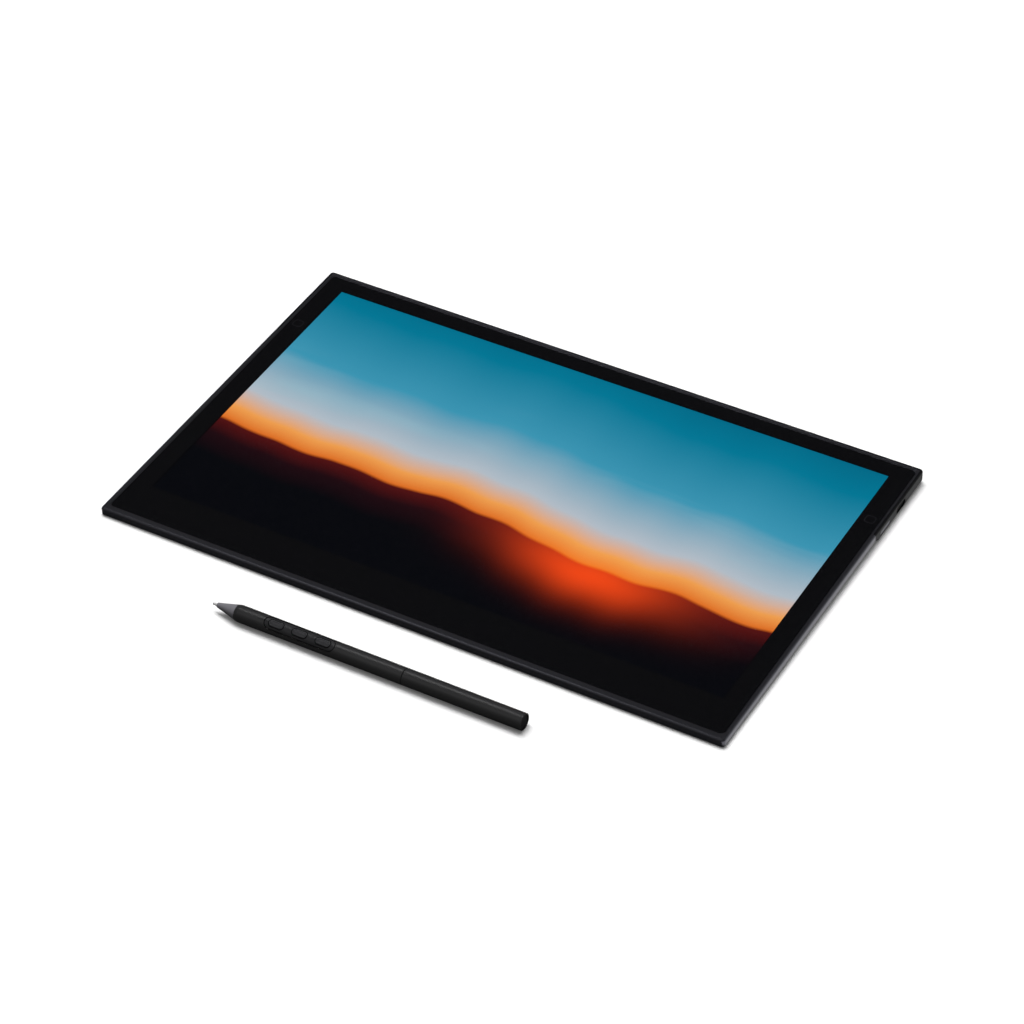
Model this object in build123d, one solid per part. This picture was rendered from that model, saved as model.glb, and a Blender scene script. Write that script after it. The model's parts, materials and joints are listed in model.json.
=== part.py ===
from build123d import *
import math
import os

os.makedirs("parts", exist_ok=True)

# Pen display tablet with its pen. Millimetres, X to the user's right, Y away from the user, Z up.
# The tablet is drawn level, standing on the underside of its thick rear band, and then set on its feet.

# Picture area: 13.3 inch diagonal at 16 to 9
picture_width = 293.76
picture_height = 165.24

# Borders from the picture out to the tablet's outline
side_border = 12.62
front_border = 24.48
rear_border = 11.28
corner_radius = 1.7
band_depth = 51.7
band_step = 2.6
ramp_length = 3.5
edge_round = 1.1
base_round = 1.5
lower_edge_chamfer = 0.3

# Layers of the slim part, from the top down
glass_thickness = 0.7
print_thickness = 0.08
bond_thickness = 0.2
panel_thickness = 0.8
sensor_thickness = 0.35
shield_thickness = 0.2
web_thickness = 0.5
cable_gap = 0.27
cover_wall = 0.9

# Clearances shared by every fit
nest_gap = 0.1
running_gap = 0.08
stop_gap = 0.05
overrun = 1.0

# Heights that follow from the layers
slim_floor = band_step
cover_top = slim_floor + cover_wall
web_low = cover_top + cable_gap
web_top = web_low + web_thickness
shield_top = web_top + shield_thickness
sensor_top = shield_top + sensor_thickness
panel_top = sensor_top + panel_thickness
bond_top = panel_top + bond_thickness
print_top = bond_top + print_thickness
glass_top = print_top + glass_thickness

# Plan lines that follow from the outline
body_width = picture_width + 2 * side_border
body_depth = picture_height + front_border + rear_border
picture_y = (front_border - rear_border) / 2
half_width = body_width / 2
half_depth = body_depth / 2
seam_y = half_depth - band_depth
band_foot_y = seam_y + ramp_length

# Cover glass and its printed border
side_rim = 2.2
rear_rim = 2.2
front_rim = 3.7
glass_width = body_width - 2 * side_rim
glass_depth = body_depth - front_rim - rear_rim
glass_y = (front_rim - rear_rim) / 2
glass_corner = 2.6
glass_chamfer = 0.15
print_inset = 0.4
window_margin = 0.3

# Display panel, its driver edge and its ribbons
panel_side_margin = 1.2
panel_front_margin = 4.0
panel_ledge = 2.0
ribbon_thickness = 0.1
ribbon_bend = 0.3
ribbon_cable_gap = 2.5
display_ribbon_reach = 3.4
cable_width = 8.0
cable_thickness = 0.15
cable_bend = 0.5
driver_board_width = 128.0
driver_board_inset = 3.78
driver_board_thickness = 0.45
driver_board_gap = 3.4
driver_chip_width = 9.0
driver_chip_depth = 2.2
driver_chip_height = 0.55
driver_chip_pitch = 24.0
driver_chip_count = 4

# Pen sensing sheet and its shield
sheet_side_gap = 4.2
sheet_rear_gap = 0.6
sheet_front_margin = 5.38
tail_width = 20.0
tail_drop_gap = 0.25

# Frame
frame_drop = 0.08
gasket_thickness = 0.15
shelf_width = 2.2
gasket_inset = 0.3
opening_width = glass_width - 2 * shelf_width
opening_depth = glass_depth - 2 * shelf_width
opening_corner = 2.4
frame_lip = 2.4
lip_wall = 1.1
lip_corner = 0.6
rim_chamfer = 0.25
web_columns = 3
web_rows = 2
web_rib = 9.0
web_window_corner = 4.0
web_border = 9.0
web_slot_margin = 1.0
hook_count = 5
hook_length = 14.0
hook_reach = 1.2
hook_height = 0.5

# Rear cover
band_floor = 1.0
band_wall = 2.1
cavity_corner = 0.3
board_rise = 0.4
board_rest_width = 1.6
plate_width = body_width - 2 * (frame_lip + nest_gap)
plate_front_y = -half_depth + frame_lip + nest_gap
plate_corner = 1.6

# Feet
foot_sink = 0.3
rear_foot_height = 0.6
front_foot_height = 0.5
rear_foot_length = 74.0
front_foot_length = 46.0
foot_width = 7.0
foot_corner = 1.4
foot_side_inset = 16.0
rear_foot_inset = 7.9
front_foot_inset = 9.0

# Screws that hold the cover to the frame
screw_radius = 0.7
screw_head_radius = 1.3
screw_head_height = 0.6
post_side = 5.2

# Side ports
port_z = 3.0
port_outer_width = 8.94
port_outer_height = 3.2
port_sheet = 0.3
port_length = 7.6
port_recess = 0.8
port_opening_gap = 0.15
port_block_length = 2.2
tongue_width = 6.7
tongue_height = 0.7
tongue_setback = 0.7
port_pocket_gap = 0.25

# Power key and its switch
key_inset = 10.4
key_length = 10.0
key_height = 2.0
key_sink = 0.1
key_flange_rim = 0.5
key_flange = 0.75
key_travel = 0.3
switch_length = 4.6
switch_height = 1.6
switch_depth = 2.4
plunger_length = 2.0
plunger_height = 0.8
plunger_reach = 0.3

# Circuit boards in the band
board_thickness = 0.8
board_front_inset = 13.6
board_post_gap = 0.6
main_board_length = 129.95
small_board_length = 34.0
board_ear_depth = 8.4
board_ear_width = 26.0
shield_can_width = 42.0
shield_can_depth = 18.0
shield_can_height = 1.2
shield_can_wall = 0.15
thermal_pad_inset = 0.6
shield_can_inset = 77.95
chip_side = 11.0
chip_height = 0.8
chip_gap = 5.0
socket_depth = 3.0
socket_height = 0.7
link_width = 9.0
link_overlap = 5.0
link_rest_count = 3
coil_can_side = 5.0
coil_can_height = 1.2

# Touch keys under the border
touch_side_inset = 7.05
touch_seam_inset = 9.2
touch_pad_radius = 1.45
touch_tail_width = 1.2
touch_tail_length = 12.0

# Pen, drawn along its own axis from the nib's tip
pen_radius = 4.0
pen_gap = 29.8
pen_tip_x = -78.5
button_lean = 25.0
nib_radius = 0.8
nib_shown = 2.6
nib_seat = 1.8
nib_travel = 0.25
cone_front_radius = 1.15
cone_rear_radius = 3.62
cone_end = 12.8
cone_spigot_length = 1.6
taper_end = 15.0
barrel_bore = 3.3
barrel_split = 98.9
barrel_fit = 0.1
ferrite_radius = 1.75
ferrite_bore = 1.15
ferrite_length = 8.0
ferrite_inset = 0.2
winding_radius = 2.6
winding_inset = 0.8
carrier_gap = 0.1
carrier_end_gap = 0.4
gauge_gap = 0.2
gauge_length = 4.0
gauge_side = 3.6
pen_board_front_gap = 0.8
pen_board_rear_gap = 1.0
pen_board_width = 3.8
pen_board_thickness = 0.6
pen_board_height = 1.0
pen_chip_side = 3.2
pen_chip_height = 0.9
pen_chip_from_end = 12.0

# Side buttons of the pen
island_gap = 1.0
island_length = 36.4
island_width = 6.2
island_drop = 0.06
island_corner = 2.0
button_length = 7.4
button_width = 3.2
button_pitch = 12.0
button_corner = 0.8
button_proud = 0.12
button_travel = 0.25
button_flange = 0.4
button_inner_radius = 2.85
pen_switch_side = 2.6
pen_switch_height = 0.6
pen_plunger_side = 1.2

# Rear half of the pen
collar_shown = 6.0
collar_sunk = 5.5
collar_wall = 0.7
holder_length = 31.1
holder_slots = 2
spare_nib_shown = 4.0
spare_nib_orbit = 1.2
weight_gap = 1.0
weight_length = 14.7
tail_wall = 1.4
tail_disc_radius = 3.3
tail_disc_thickness = 0.8
tail_recess = 0.3
tail_chamfer = 0.25


def slab(width, depth, radius, low, high, centre_y=0):
    """Rounded plate between two heights."""
    outline = RectangleRounded(width, depth, radius)
    return Pos(0, centre_y, low) * extrude(outline, high - low)


def cut_corners(width, depth, cut):
    """Rectangle with its corners cut off."""
    return chamfer(Rectangle(width, depth).vertices(), cut)


def block(x_low, x_high, y_low, y_high, low, high):
    """Plain block between named faces."""
    centre = ((x_low + x_high) / 2, (y_low + y_high) / 2, (low + high) / 2)
    return Pos(*centre) * Box(x_high - x_low, y_high - y_low, high - low)


def side_bar(length, height, x_low, x_high, y, z):
    """Bar with round ends that lies along Y and runs out through the side wall along X."""
    face = Plane(origin=(x_low, y, z), x_dir=(0, 1, 0), z_dir=(1, 0, 0)) * SlotOverall(length, height)
    return extrude(face, x_high - x_low)


def ribbon(points, width, thickness, bend, centre_x=0):
    """Flat cable that follows a bent line in the YZ plane."""
    path = FilletPolyline(*[(centre_x, y, z) for y, z in points], radius=bend)
    start = Plane(origin=path @ 0, x_dir=(1, 0, 0), z_dir=path % 0)
    return sweep(start * Rectangle(width, thickness), path=path)


def turned(points):
    """Solid of revolution about the pen's axis from (radius, station) points."""
    outline = Polyline(*[(radius, 0, station) for radius, station in points], close=True)
    return revolve(make_face(outline), Axis.Z)


def rod(radius, low, high):
    """Plain round bar on the pen's axis."""
    return Pos(0, 0, low) * extrude(Circle(radius), high - low)


# Set the tablet on its feet: the slim front comes down to the desk and the rear band stands on its own feet
rear_foot_x = half_width - foot_side_inset - rear_foot_length / 2
rear_foot_y = half_depth - rear_foot_inset
front_foot_x = half_width - foot_side_inset - front_foot_length / 2
front_foot_y = -half_depth + front_foot_inset
rear_foot_low = -rear_foot_height
front_foot_low = slim_floor - front_foot_height
tilt = math.atan2(front_foot_low - rear_foot_low, rear_foot_y - front_foot_y)
desk_drop = rear_foot_y * math.sin(tilt) + rear_foot_low * math.cos(tilt)
tablet_y = (pen_gap + pen_radius) / 2
tablet_place = Pos(0, tablet_y, -desk_drop) * Rot(math.degrees(tilt), 0, 0)

# The pen lies on the desk in front, parallel to the tablet's front edge
pen_y = tablet_y - half_depth - pen_gap
lean = math.radians(button_lean)
button_direction = (0, -math.sin(lean), math.cos(lean))
pen_place = Plane(origin=(pen_tip_x, pen_y, pen_radius), x_dir=button_direction, z_dir=(1, 0, 0)).location


# Shapes that several pieces share

def glass_outline(grow, low, high):
    """Plate with the cover glass's outline, grown or shrunk all round."""
    return slab(glass_width + 2 * grow, glass_depth + 2 * grow, glass_corner + grow, low, high, glass_y)


def opening_outline(low, high):
    """Plate with the outline of the frame's opening for the display stack."""
    outline = cut_corners(opening_width, opening_depth, opening_corner)
    return Pos(0, glass_y, low) * extrude(outline, high - low)


def band_outline(grow, low, high):
    """Plate with the outline of the frame where the rear band wraps round it."""
    inset = 2 * (lip_wall - grow)
    return slab(body_width - inset, body_depth - inset, lip_corner + grow, low, high)


def foot_places():
    """Centre, length and seat height of each foot: two under the slim front, two under the rear band."""
    places = []
    for side in (-1, 1):
        places.append((side * front_foot_x, front_foot_y, front_foot_length, slim_floor + foot_sink))
        places.append((side * rear_foot_x, rear_foot_y, rear_foot_length, foot_sink))
    return places


def screw_form(grow, side, high):
    """Screw of the cover under a rear foot, or with growth the hole for it."""
    form = rod(screw_head_radius + grow, foot_sink - grow, foot_sink + screw_head_height)
    form += rod(screw_radius + grow, foot_sink, high)
    return Pos(side * rear_foot_x, rear_foot_y, 0) * form


def front_hooks(grow, low, high):
    """Tabs along the cover's front edge that reach into slots in the frame's outer wall."""
    length = hook_length + 2 * grow
    reach = hook_reach + grow
    hook = block(-length / 2, length / 2, plate_front_y - reach, plate_front_y + overrun, low, high)
    spots = GridLocations(plate_width / hook_count, hook_length, hook_count, 1)
    return Part() + [spot * hook for spot in spots]


# Cover glass, printed border and the bonding sheet under them

def cover_glass():
    glass = glass_outline(0, print_top, glass_top)
    top_edges = glass.edges().group_by(Axis.Z)[-1]
    return chamfer(top_edges, glass_chamfer)


def picture_block(margin, low, high):
    """Square-cornered plate over the picture, with a margin all round."""
    width = picture_width + 2 * margin
    depth = picture_height + 2 * margin
    return Pos(0, picture_y, (low + high) / 2) * Box(width, depth, high - low)


def border_print():
    window = picture_block(window_margin, bond_top, print_top)
    return glass_outline(-print_inset, bond_top, print_top) - window


def optical_bond():
    sheet = picture_block(panel_side_margin, panel_top, bond_top)
    return sheet + picture_block(window_margin, panel_top, print_top)


# Display panel with a stepped front edge that its ribbon bonds to

panel_half_width = picture_width / 2 + panel_side_margin
panel_rear_y = picture_y + picture_height / 2 + panel_side_margin
panel_front_y = picture_y - picture_height / 2 - panel_front_margin
ledge_z = sensor_top + panel_thickness / 2


def display_panel():
    panel = block(-panel_half_width, panel_half_width, panel_front_y, panel_rear_y, sensor_top, panel_top)
    ledge_end = panel_front_y + panel_ledge
    step = block(-half_width, half_width, panel_front_y - overrun, ledge_end, ledge_z, glass_top)
    return panel - step


# Driver board in the wide front border, and the ribbons that join the panel, it and the main board

driver_board_rear = panel_front_y - driver_board_gap
driver_board_front = glass_y + driver_board_inset - opening_depth / 2
driver_board_top = web_top + driver_board_thickness


def driver_board():
    board = block(
        -driver_board_width / 2,
        driver_board_width / 2,
        driver_board_front,
        driver_board_rear,
        web_top,
        driver_board_top,
    )
    chips = GridLocations(driver_chip_pitch, driver_chip_depth, driver_chip_count, 1)
    chip_y = driver_board_front + driver_chip_depth
    for spot in chips:
        chip = Box(driver_chip_width, driver_chip_depth, driver_chip_height)
        board += Pos(spot.position.X, chip_y, driver_board_top + driver_chip_height / 2) * chip
    return board


def display_ribbon():
    high = ledge_z + ribbon_thickness / 2
    low = driver_board_top + ribbon_thickness / 2
    rear = panel_front_y + panel_ledge - nest_gap
    drop = panel_front_y - driver_board_gap / 2
    end = driver_board_rear - display_ribbon_reach
    points = [(rear, high), (drop + ribbon_bend, high), (drop - ribbon_bend, low), (end, low)]
    half_ribbon = cable_x - cable_width / 2 - ribbon_cable_gap
    return ribbon(points, 2 * half_ribbon, ribbon_thickness, ribbon_bend)


sheet_width = opening_width - 2 * sheet_side_gap
sheet_front_y = picture_y - picture_height / 2 - sheet_front_margin
sheet_rear_y = glass_y + opening_depth / 2 - sheet_rear_gap
web_pitch_x = (sheet_width - 2 * web_border + web_rib) / web_columns
cable_x = web_pitch_x / 2
board_front_y = seam_y + board_front_inset
board_rear_y = rear_foot_y - post_side / 2 - board_post_gap
board_low = band_floor + board_rise
board_top = board_low + board_thickness
port_y = (board_front_y + board_rear_y) / 2
key_y = seam_y + key_inset


def display_cable():
    """Long ribbon under the frame's web, from the driver board back to the main board."""
    high = driver_board_top + cable_thickness / 2
    under = web_low - cable_thickness / 2
    low = board_top + socket_height + cable_thickness / 2
    front = driver_board_rear - driver_chip_depth
    slot_front = driver_board_rear + cable_bend
    slot_rear = slot_front + cable_bend
    drop = board_front_y - 2 * socket_depth
    points = [
        (front, high),
        (slot_front, high),
        (slot_rear, under),
        (drop, under),
        (drop + socket_depth, low),
        (board_front_y + socket_depth, low),
    ]
    return ribbon(points, cable_width, cable_thickness, cable_bend, cable_x)


def sensor_sheet():
    """Pen sensing board under the panel."""
    return sheet_outline(shield_top, sensor_top)


def sheet_outline(low, high):
    return block(-sheet_width / 2, sheet_width / 2, sheet_front_y, sheet_rear_y, low, high)


def shield_plate():
    return sheet_outline(web_top, shield_top)


def sensor_tail():
    """Ribbon from the sensing sheet's rear edge, round the shield and down to the main board."""
    high = sensor_top + ribbon_thickness / 2
    low = board_top + socket_height + ribbon_thickness / 2
    fold = sheet_rear_y + tail_drop_gap
    start = (panel_rear_y + sheet_rear_y) / 2
    points = [(start, high), (fold, high), (fold, low), (board_rear_y - socket_depth, low)]
    return ribbon(points, tail_width, ribbon_thickness, ribbon_bend, cable_x)


# Touch electrodes and the adhesive ring, side by side under the border

pad_low = bond_top - gasket_thickness


def touch_pad(side):
    """Touch key electrode under the border, with its tail, beside the panel."""
    low = pad_low
    touch_x = half_width - touch_side_inset
    touch_y = seam_y + touch_seam_inset
    pad = Pos(side * touch_x, touch_y, low) * extrude(Circle(touch_pad_radius), gasket_thickness)
    tail = block(
        side * touch_x - touch_tail_width / 2,
        side * touch_x + touch_tail_width / 2,
        touch_y,
        touch_y + touch_tail_length,
        low,
        bond_top,
    )
    return pad + tail


def glass_gasket():
    """Adhesive ring between the glass and the frame's shelf."""
    outer = glass_outline(-print_inset - gasket_inset, pad_low, bond_top)
    inner = Box(opening_width + 2 * gasket_inset, opening_depth + 2 * gasket_inset, bond_top - pad_low)
    return outer - Pos(0, glass_y, (pad_low + bond_top) / 2) * inner


# Positions of the ports, the power key and its switch along the side wall

wall_inner = half_width - band_wall
port_mouth = half_width - port_recess
port_rear = port_mouth - port_length
key_face = half_width - key_sink
key_flange_face = wall_inner - stop_gap
key_flange_rear = key_flange_face - key_flange
plunger_tip = key_flange_rear - key_travel - stop_gap
switch_face = plunger_tip - plunger_reach
pocket_inner = port_rear - port_pocket_gap
port_top = port_z + port_outer_height / 2
key_top = port_z + key_height / 2 + key_flange_rim
band_inner_front = band_foot_y + band_floor
band_inner_rear = half_depth - band_wall


def side_pocket(y, length):
    """Room in the frame above a port or the power key."""
    top = max(port_top, key_top) + port_pocket_gap
    reach = length / 2 + port_pocket_gap
    return block(pocket_inner, half_width, y - reach, y + reach, slim_floor, top)


def both_sides(shape):
    return shape + mirror(shape, about=Plane.YZ)


# Frame: rim round the glass, shelf, outer wall of the slim part and a ribbed web behind the display

frame_top = glass_top - frame_drop


def mid_frame():
    ring = slab(body_width, body_depth, corner_radius, slim_floor, frame_top)
    ring = fillet(ring.edges().group_by(Axis.Z)[-1], edge_round)
    ring = chamfer(ring.edges().group_by(Axis.Z)[0], lower_edge_chamfer)

    rear_zone = block(-body_width, body_width, seam_y, body_depth, slim_floor - overrun, glass_top)
    kept = band_outline(-nest_gap, slim_floor - overrun, frame_top)
    kept = chamfer(kept.edges().group_by(Axis.Z)[-1], rim_chamfer)
    ring -= rear_zone - kept
    ring -= block(-body_width, body_width, seam_y, body_depth, slim_floor - overrun, web_low)

    ring -= glass_outline(nest_gap, pad_low, glass_top + overrun)
    ring -= opening_outline(web_top, glass_top)
    ring -= opening_outline(cover_top, web_low)
    ring -= cover_plate_outline(nest_gap, slim_floor - overrun, cover_top)

    ring -= web_windows()
    ring -= ribbon_slots()
    pocket = side_pocket(port_y, port_outer_width)
    ring -= both_sides(pocket)
    ring -= side_pocket(key_y, key_length + 2 * key_flange_rim)

    for side in (-1, 1):
        ring -= screw_form(running_gap, side, web_top + overrun)
    return ring - front_hooks(nest_gap, cover_top - hook_height - nest_gap, cover_top + nest_gap)


def cover_plate_outline(grow, low, high):
    """Outline of the rear cover's slim plate, which sits inside the frame's outer wall."""
    rear_y = seam_y + ramp_length
    depth = rear_y - plate_front_y
    middle = (rear_y + plate_front_y) / 2
    return slab(plate_width + 2 * grow, depth + 2 * grow, plate_corner + grow, low, high, middle)


def web_windows():
    """Windows between the web's ribs, behind the slim part of the display."""
    front = sheet_front_y + web_border
    rear = seam_y - web_border
    pitch_y = (rear - front + web_rib) / web_rows
    window = cut_corners(web_pitch_x - web_rib, pitch_y - web_rib, web_window_corner)
    grid = GridLocations(web_pitch_x, pitch_y, web_columns, web_rows)
    windows = Sketch() + [spot * window for spot in grid]
    low = web_low - web_slot_margin
    return Pos(0, (front + rear) / 2, low) * extrude(windows, web_top + web_slot_margin - low)


def ribbon_slots():
    """Slots in the web that the display cable and the sensing sheet's tail go through."""
    cable_half = cable_width / 2 + web_slot_margin
    cable_slot = block(
        cable_x - cable_half,
        cable_x + cable_half,
        driver_board_rear,
        sheet_front_y,
        web_low - overrun,
        web_top + overrun,
    )
    tail_half = tail_width / 2 + web_slot_margin
    tail_slot = block(
        cable_x - tail_half,
        cable_x + tail_half,
        sheet_rear_y,
        sheet_rear_y + 2 * web_slot_margin,
        web_low - overrun,
        web_top,
    )
    return cable_slot + tail_slot


# Rear cover: a slim plate inside the frame's wall, and the thick band that holds the boards and ports

def rear_cover():
    side_view = Polyline(
        (0, seam_y + nest_gap, slim_floor),
        (0, band_foot_y, 0),
        (0, half_depth, 0),
        (0, half_depth, frame_top),
        (0, seam_y + nest_gap, frame_top),
        close=True,
    )
    band = extrude(make_face(side_view), half_width, both=True)
    upright = band.edges().filter_by(Axis.Z).group_by(Axis.Y)[-1]
    band = fillet(upright, corner_radius)
    floor_edges = band.faces().group_by(Axis.Z)[0].edges()
    lower = floor_edges - floor_edges.group_by(Axis.Y)[0]
    ramp = band.faces().sort_by(Axis.Y)[0:2].sort_by(Axis.Z)[0]
    slopes = ramp.edges() - ramp.edges().filter_by(Axis.X)
    band = fillet(lower + slopes, base_round)
    upper = band.edges().group_by(Axis.Z)[-1]
    band = fillet(upper - upper.group_by(Axis.Y)[0], edge_round)

    band -= band_outline(0, web_low, glass_top)
    cavity_depth = band_inner_rear - band_inner_front
    cavity_middle = (band_inner_rear + band_inner_front) / 2
    band -= slab(2 * wall_inner, cavity_depth, cavity_corner, band_floor, glass_top, cavity_middle)
    opening_half = opening_width / 2
    band -= block(-opening_half, opening_half, seam_y, band_inner_front + overrun, cover_top, glass_top)
    cover = band + cover_plate_outline(0, slim_floor, cover_top)
    cover += front_hooks(0, cover_top - hook_height, cover_top)

    cover += board_rests()
    port = side_bar(
        port_outer_width + 2 * port_opening_gap,
        port_outer_height + 2 * port_opening_gap,
        wall_inner - overrun,
        half_width + overrun,
        port_y,
        port_z,
    )
    cover -= both_sides(port)
    key_hole = (key_length + 2 * running_gap, key_height + 2 * running_gap)
    cover -= side_bar(*key_hole, wall_inner - overrun, half_width + overrun, key_y, port_z)

    for side in (-1, 1):
        post = Box(post_side, post_side, web_low - band_floor)
        cover += Pos(side * rear_foot_x, rear_foot_y, (band_floor + web_low) / 2) * post
        cover -= screw_form(nest_gap, side, web_low + overrun)
    for x, y, length, seat in foot_places():
        sunk = cut_corners(length + 2 * nest_gap, foot_width + 2 * nest_gap, foot_corner)
        cover -= Pos(x, y, -overrun) * extrude(sunk, seat + overrun)
    return cover


# Boards, ports and the power key in the band

board_right_x = switch_face
board_left_x = board_right_x - main_board_length
shield_can_x = board_right_x - shield_can_inset
ear_front_y = board_front_y - board_ear_depth
socket_z = board_top + socket_height / 2


def board_rests():
    """Low ribs on the band's floor under the boards and under the ribbon between them."""
    rests = Part()
    right_span = (board_left_x + board_rest_width, board_right_x - board_ear_width)
    small_board_end = small_board_length - board_right_x
    left_span = (small_board_end - small_board_length / 2, small_board_end - board_rest_width)
    for x in right_span + left_span:
        rests += block(x - board_rest_width, x, band_inner_front, board_rear_y, band_floor, board_low)
    gap = board_left_x + board_right_x - small_board_length
    for index in range(link_rest_count):
        x = board_left_x - gap * (index + 1) / (link_rest_count + 1)
        low_x = x - board_rest_width
        rests += block(low_x, x, port_y - link_width, port_y + link_width, band_floor, board_top)
    return rests


def port_notch():
    """Notch in a board's end that a port's shell sits in."""
    reach = port_outer_width / 2 + port_opening_gap
    return block(port_rear, half_width, port_y - reach, port_y + reach, band_floor, glass_top)


def main_board():
    board = block(board_left_x, board_right_x, board_front_y, board_rear_y, board_low, board_top)
    board += block(
        board_right_x - board_ear_width,
        board_right_x,
        ear_front_y,
        board_front_y,
        board_low,
        board_top,
    )
    board -= port_notch()
    front_socket = Box(cable_width + socket_depth, socket_depth, socket_height)
    rear_socket = Box(tail_width + socket_depth, socket_depth, socket_height)
    board += Pos(cable_x, board_front_y + socket_depth / 2, socket_z) * front_socket
    board += Pos(cable_x, board_rear_y - socket_depth / 2, socket_z) * rear_socket
    chip = Box(chip_side, chip_side, chip_height)
    for side in (-1, 1):
        x = shield_can_x + side * (chip_side + chip_gap) / 2
        board += Pos(x, port_y, board_top + chip_height / 2) * chip
    coil = Box(coil_can_side, coil_can_side, coil_can_height)
    coil_x = shield_can_x + shield_can_width / 2 + coil_can_side
    for y in (port_y - coil_can_side, port_y + coil_can_side):
        board += Pos(coil_x, y, board_top + coil_can_height / 2) * coil
    return board


def small_board():
    left = -board_right_x
    board = block(left, left + small_board_length, board_front_y, board_rear_y, board_low, board_top)
    board -= mirror(port_notch(), about=Plane.YZ)
    chip = Box(chip_side / 2, chip_side / 2, chip_height)
    chip_x = left + small_board_length - chip_side
    return board + Pos(chip_x, board_rear_y - chip_side / 2, board_top + chip_height / 2) * chip


def board_link():
    """Flat ribbon that joins the small board to the main board across the band."""
    left = -board_right_x + small_board_length - link_overlap
    right = board_left_x + link_overlap
    high = board_top + ribbon_thickness
    return block(left, right, port_y - link_width / 2, port_y + link_width / 2, board_top, high)


def shield_can():
    low = board_top
    high = board_top + shield_can_height
    wall = shield_can_wall
    can = Pos(shield_can_x, port_y, (low + high) / 2) * Box(shield_can_width, shield_can_depth, high - low)
    hollow = Box(shield_can_width - 2 * wall, shield_can_depth - 2 * wall, high - low)
    return can - Pos(shield_can_x, port_y, (low + high) / 2 - wall) * hollow


def thermal_pad():
    low = board_top + shield_can_height
    width = shield_can_width - 2 * thermal_pad_inset
    depth = shield_can_depth - 2 * thermal_pad_inset
    return Pos(shield_can_x, port_y, (low + web_low) / 2) * Box(width, depth, web_low - low)


def port_shell():
    shell = side_bar(port_outer_width, port_outer_height, port_rear, port_mouth, port_y, port_z)
    inner_width = port_outer_width - 2 * port_sheet
    inner_height = port_outer_height - 2 * port_sheet
    shell -= side_bar(inner_width, inner_height, port_rear - overrun, port_mouth + overrun, port_y, port_z)
    return shell


def port_core():
    """Insulating block at the back of a port with the contact tongue on it."""
    inner_width = port_outer_width - 2 * port_sheet
    inner_height = port_outer_height - 2 * port_sheet
    core = side_bar(inner_width, inner_height, port_rear, port_rear + port_block_length, port_y, port_z)
    low = port_z - tongue_height / 2
    core += block(
        port_rear,
        port_mouth - tongue_setback,
        port_y - tongue_width / 2,
        port_y + tongue_width / 2,
        low,
        low + tongue_height,
    )
    return core


def power_key():
    cap = side_bar(key_length, key_height, key_flange_rear, key_face, key_y, port_z)
    flange = Box(key_flange, key_length + 2 * key_flange_rim, key_height + 2 * key_flange_rim)
    return cap + Pos((key_flange_rear + key_flange_face) / 2, key_y, port_z) * flange


def power_switch():
    body = block(
        switch_face - switch_depth,
        switch_face,
        key_y - switch_length / 2,
        key_y + switch_length / 2,
        board_top,
        board_top + switch_height,
    )
    middle = board_top + switch_height / 2
    body += block(
        switch_face,
        plunger_tip,
        key_y - plunger_length / 2,
        key_y + plunger_length / 2,
        middle - plunger_height / 2,
        middle + plunger_height / 2,
    )
    return body


# Screws and feet

def cover_screws():
    return Compound([screw_form(0, side, web_top - running_gap) for side in (-1, 1)])


def foot(index):
    """Rubber foot, cut flat where it stands on the desk."""
    x, y, length, seat = foot_places()[index]
    height = front_foot_height if y < seam_y else rear_foot_height
    low = seat - foot_sink - height - overrun
    bar = tablet_place * Pos(x, y, low) * extrude(cut_corners(length, foot_width, foot_corner), seat - low)
    desk = Pos(0, 0, -body_width) * Box(2 * body_width, 2 * body_width, 2 * body_width)
    return bar - desk


# Stations along the pen that follow from its sizes

spigot_end = cone_end + cone_spigot_length
carrier_radius = barrel_bore - carrier_gap
carrier_bore = winding_radius + running_gap
carrier_start = spigot_end + carrier_end_gap
ferrite_start = carrier_start + ferrite_inset
ferrite_end = ferrite_start + ferrite_length
gauge_start = ferrite_end + gauge_gap
gauge_end = gauge_start + gauge_length
nib_length = gauge_start + nib_seat
collar_start = barrel_split - collar_sunk
carrier_end = collar_start - carrier_end_gap
collar_end = barrel_split + collar_shown
collar_bore = barrel_bore - running_gap - collar_wall
pen_board_start = gauge_end + pen_board_front_gap
pen_board_end = carrier_end - pen_board_rear_gap
pen_board_top = pen_board_height + pen_board_thickness
island_start = gauge_end + island_gap
island_middle = island_start + island_length / 2
holder_end = collar_end + holder_length
nib_tip_station = holder_end + spare_nib_shown
weight_start = nib_tip_station + weight_gap
weight_end = weight_start + weight_length
tail_floor = weight_end + tail_wall
pen_length = tail_floor + tail_disc_thickness + tail_recess


def across_pen(outline, station):
    """Prism from the pen's axis out through the side that carries the buttons."""
    return extrude(Plane(origin=(0, 0, station), x_dir=(0, 0, 1), z_dir=(1, 0, 0)) * outline, 2 * pen_radius)


def tube(inner, outer, low, high):
    return rod(outer, low, high) - rod(inner, low - overrun, high + overrun)


# Nib, nose cone and barrel

def nib():
    return rod(nib_radius, 0, nib_length)


def nose_cone():
    throat = nib_radius + running_gap
    spigot = barrel_bore - barrel_fit
    return turned(
        [
            (throat, nib_shown),
            (cone_front_radius, nib_shown),
            (cone_rear_radius, cone_end),
            (spigot, cone_end),
            (spigot, spigot_end),
            (throat, spigot_end),
        ]
    )


def island_window(grow):
    outline = cut_corners(island_length + 2 * grow, island_width + 2 * grow, island_corner)
    return across_pen(outline, island_middle)


def front_barrel():
    barrel = turned(
        [
            (barrel_bore, cone_end),
            (cone_rear_radius, cone_end),
            (pen_radius, taper_end),
            (pen_radius, barrel_split),
            (barrel_bore, barrel_split),
        ]
    )
    return barrel - island_window(0)


# Button island, the three side buttons and their switches

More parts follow.
